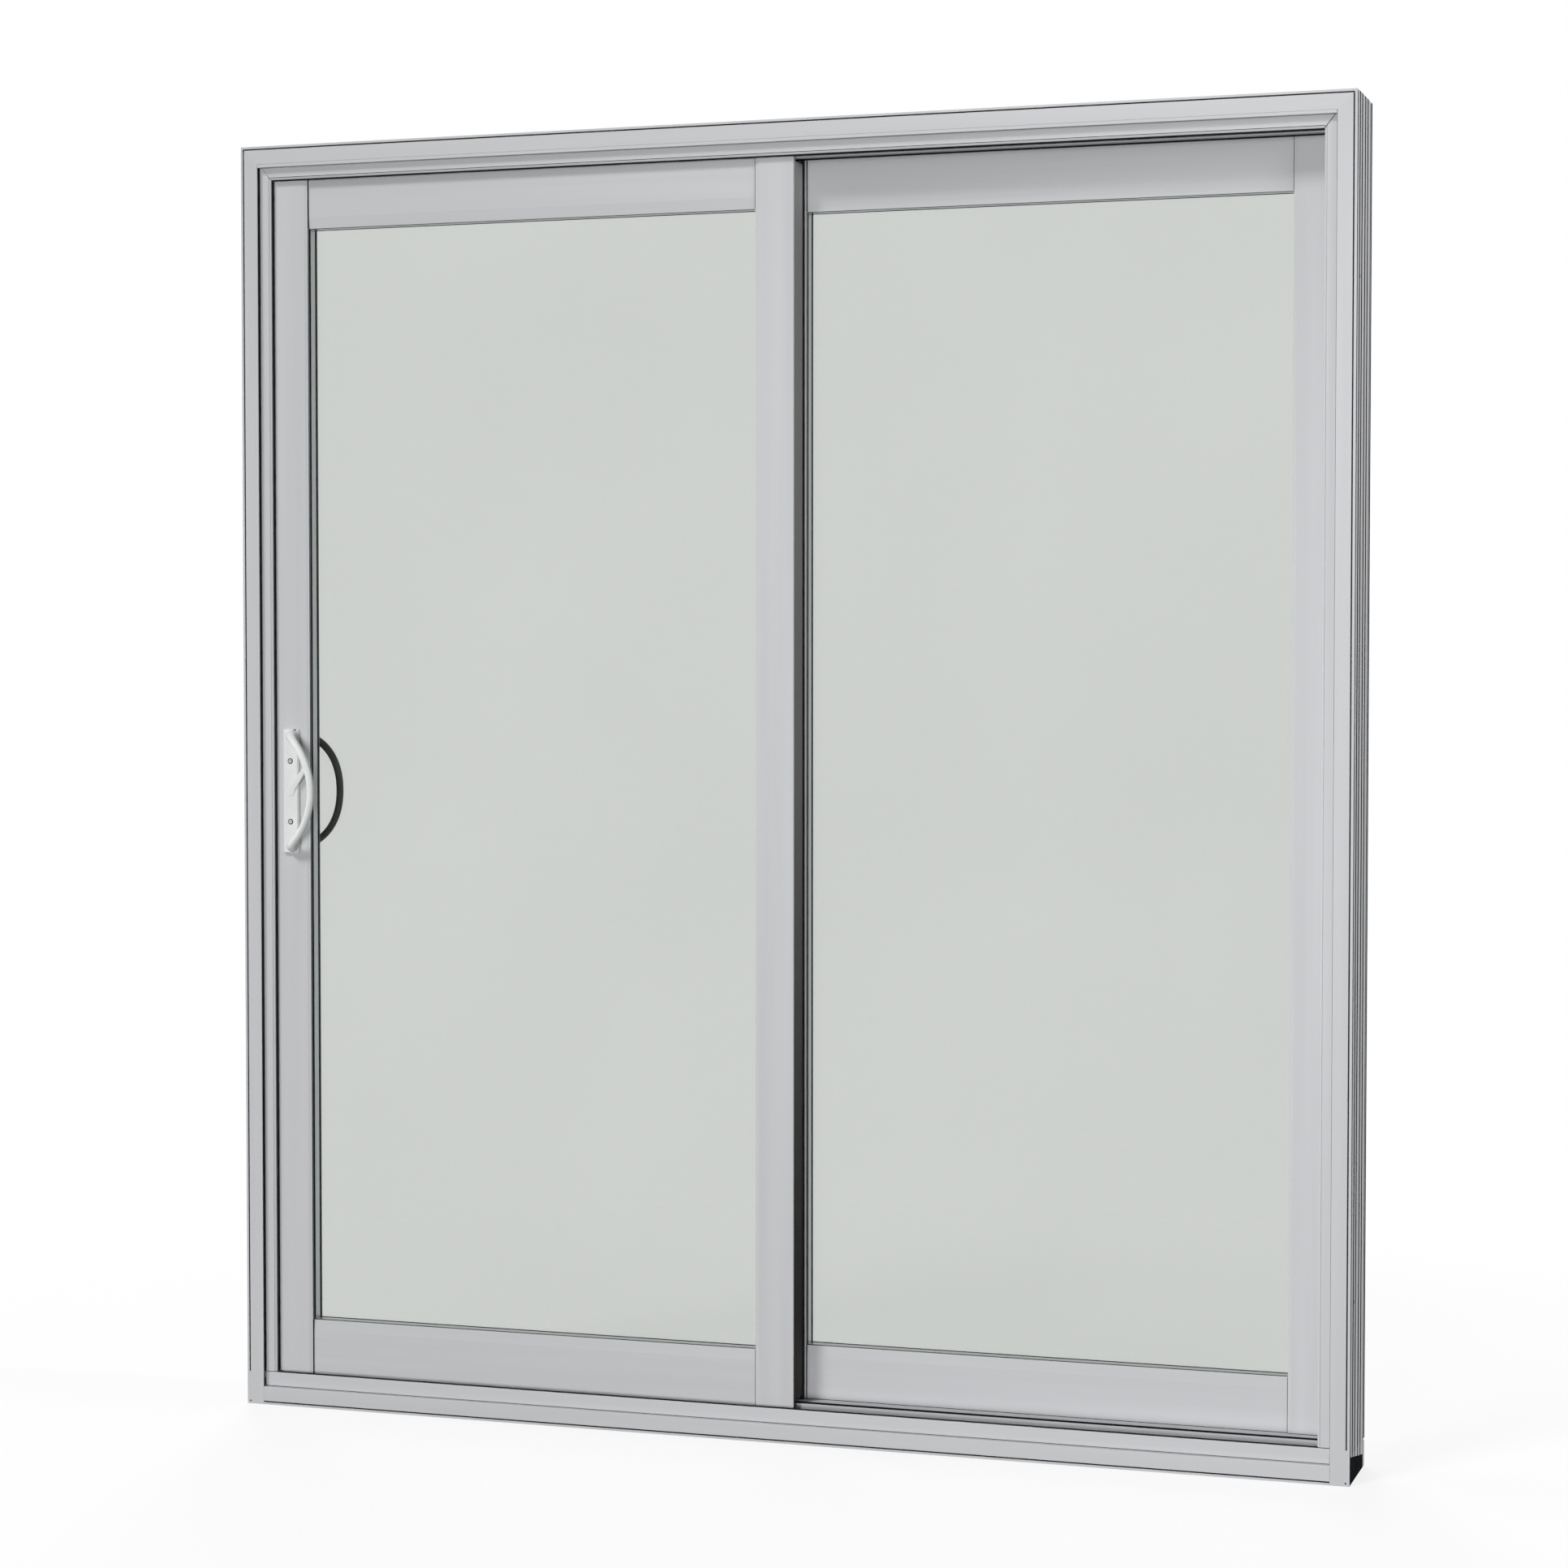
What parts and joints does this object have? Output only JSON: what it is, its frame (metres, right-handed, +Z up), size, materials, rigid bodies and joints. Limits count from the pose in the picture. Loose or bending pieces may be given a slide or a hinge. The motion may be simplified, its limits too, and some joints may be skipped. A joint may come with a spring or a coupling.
{
  "type": "glass sliding patio door",
  "caption": "White vinyl sliding patio door: a fixed and a sliding double-glazed panel in a frame with sill track, bow pull handles and a thumb latch.",
  "frame": {"origin": "middle of the sill's flat underside, at the middle of the frame's width and depth", "axes": "+X to the right seen from indoors, the way the panel slides open; +Y outdoors; +Z up"},
  "size_m": [1.79, 0.1658, 2.032],
  "materials": {
    "frame_vinyl": "satin white vinyl",
    "panel_vinyl": "satin white vinyl",
    "end_cap": "matt black",
    "track_metal": "matt black anodised",
    "lock_steel": "satin",
    "glass": "clear, faintly grey-green",
    "spacer": "grey, satin",
    "gasket": "matt black",
    "carriage_steel": "plated",
    "roller": "nylon",
    "handle_white": "white powder coat",
    "handle_dark": "black powder coat"
  },
  "bodies": {
    "frame": {"left_jamb": "frame_vinyl", "right_jamb": "frame_vinyl", "head": "frame_vinyl", "head_guide": "frame_vinyl", "sill": "frame_vinyl", "sill_end_cap_left": "end_cap", "sill_end_cap_right": "end_cap", "roller_track": "track_metal", "lock_keeper": "lock_steel", "fixed_meeting_stile": "panel_vinyl", "fixed_jamb_stile": "panel_vinyl", "fixed_top_rail": "panel_vinyl", "fixed_bottom_rail": "panel_vinyl", "fixed_inner_pane": "glass", "fixed_outer_pane": "glass", "fixed_spacer": "spacer", "fixed_indoor_gasket": "gasket", "fixed_outdoor_gasket": "gasket"},
    "sliding_panel": {"slider_lock_stile": "panel_vinyl", "slider_meeting_stile": "panel_vinyl", "slider_top_rail": "panel_vinyl", "slider_bottom_rail": "panel_vinyl", "slider_inner_pane": "glass", "slider_outer_pane": "glass", "slider_spacer": "spacer", "slider_indoor_gasket": "gasket", "slider_outdoor_gasket": "gasket", "mortise_lock": "lock_steel", "left_roller_carriage": "carriage_steel", "right_roller_carriage": "carriage_steel", "left_roller_wheels": "roller", "right_roller_wheels": "roller", "indoor_handle_plate": "handle_white", "indoor_handle_grip": "handle_white", "outdoor_handle_plate": "handle_dark", "outdoor_handle_grip": "handle_dark"},
    "latch": {"thumb_latch": "handle_white"}
  },
  "joints": [
    {"name": "door_slide", "type": "slide", "parent": "frame", "child": "sliding_panel", "axis": [1, 0, 0], "range_m": [0, 0.72]},
    {"name": "latch_turn", "type": "hinge", "parent": "sliding_panel", "child": "latch", "pos_m": [-0.8191, -0.0585, 0.997], "axis": [0, 1, 0], "range_deg": [0, 90]}
  ]
}
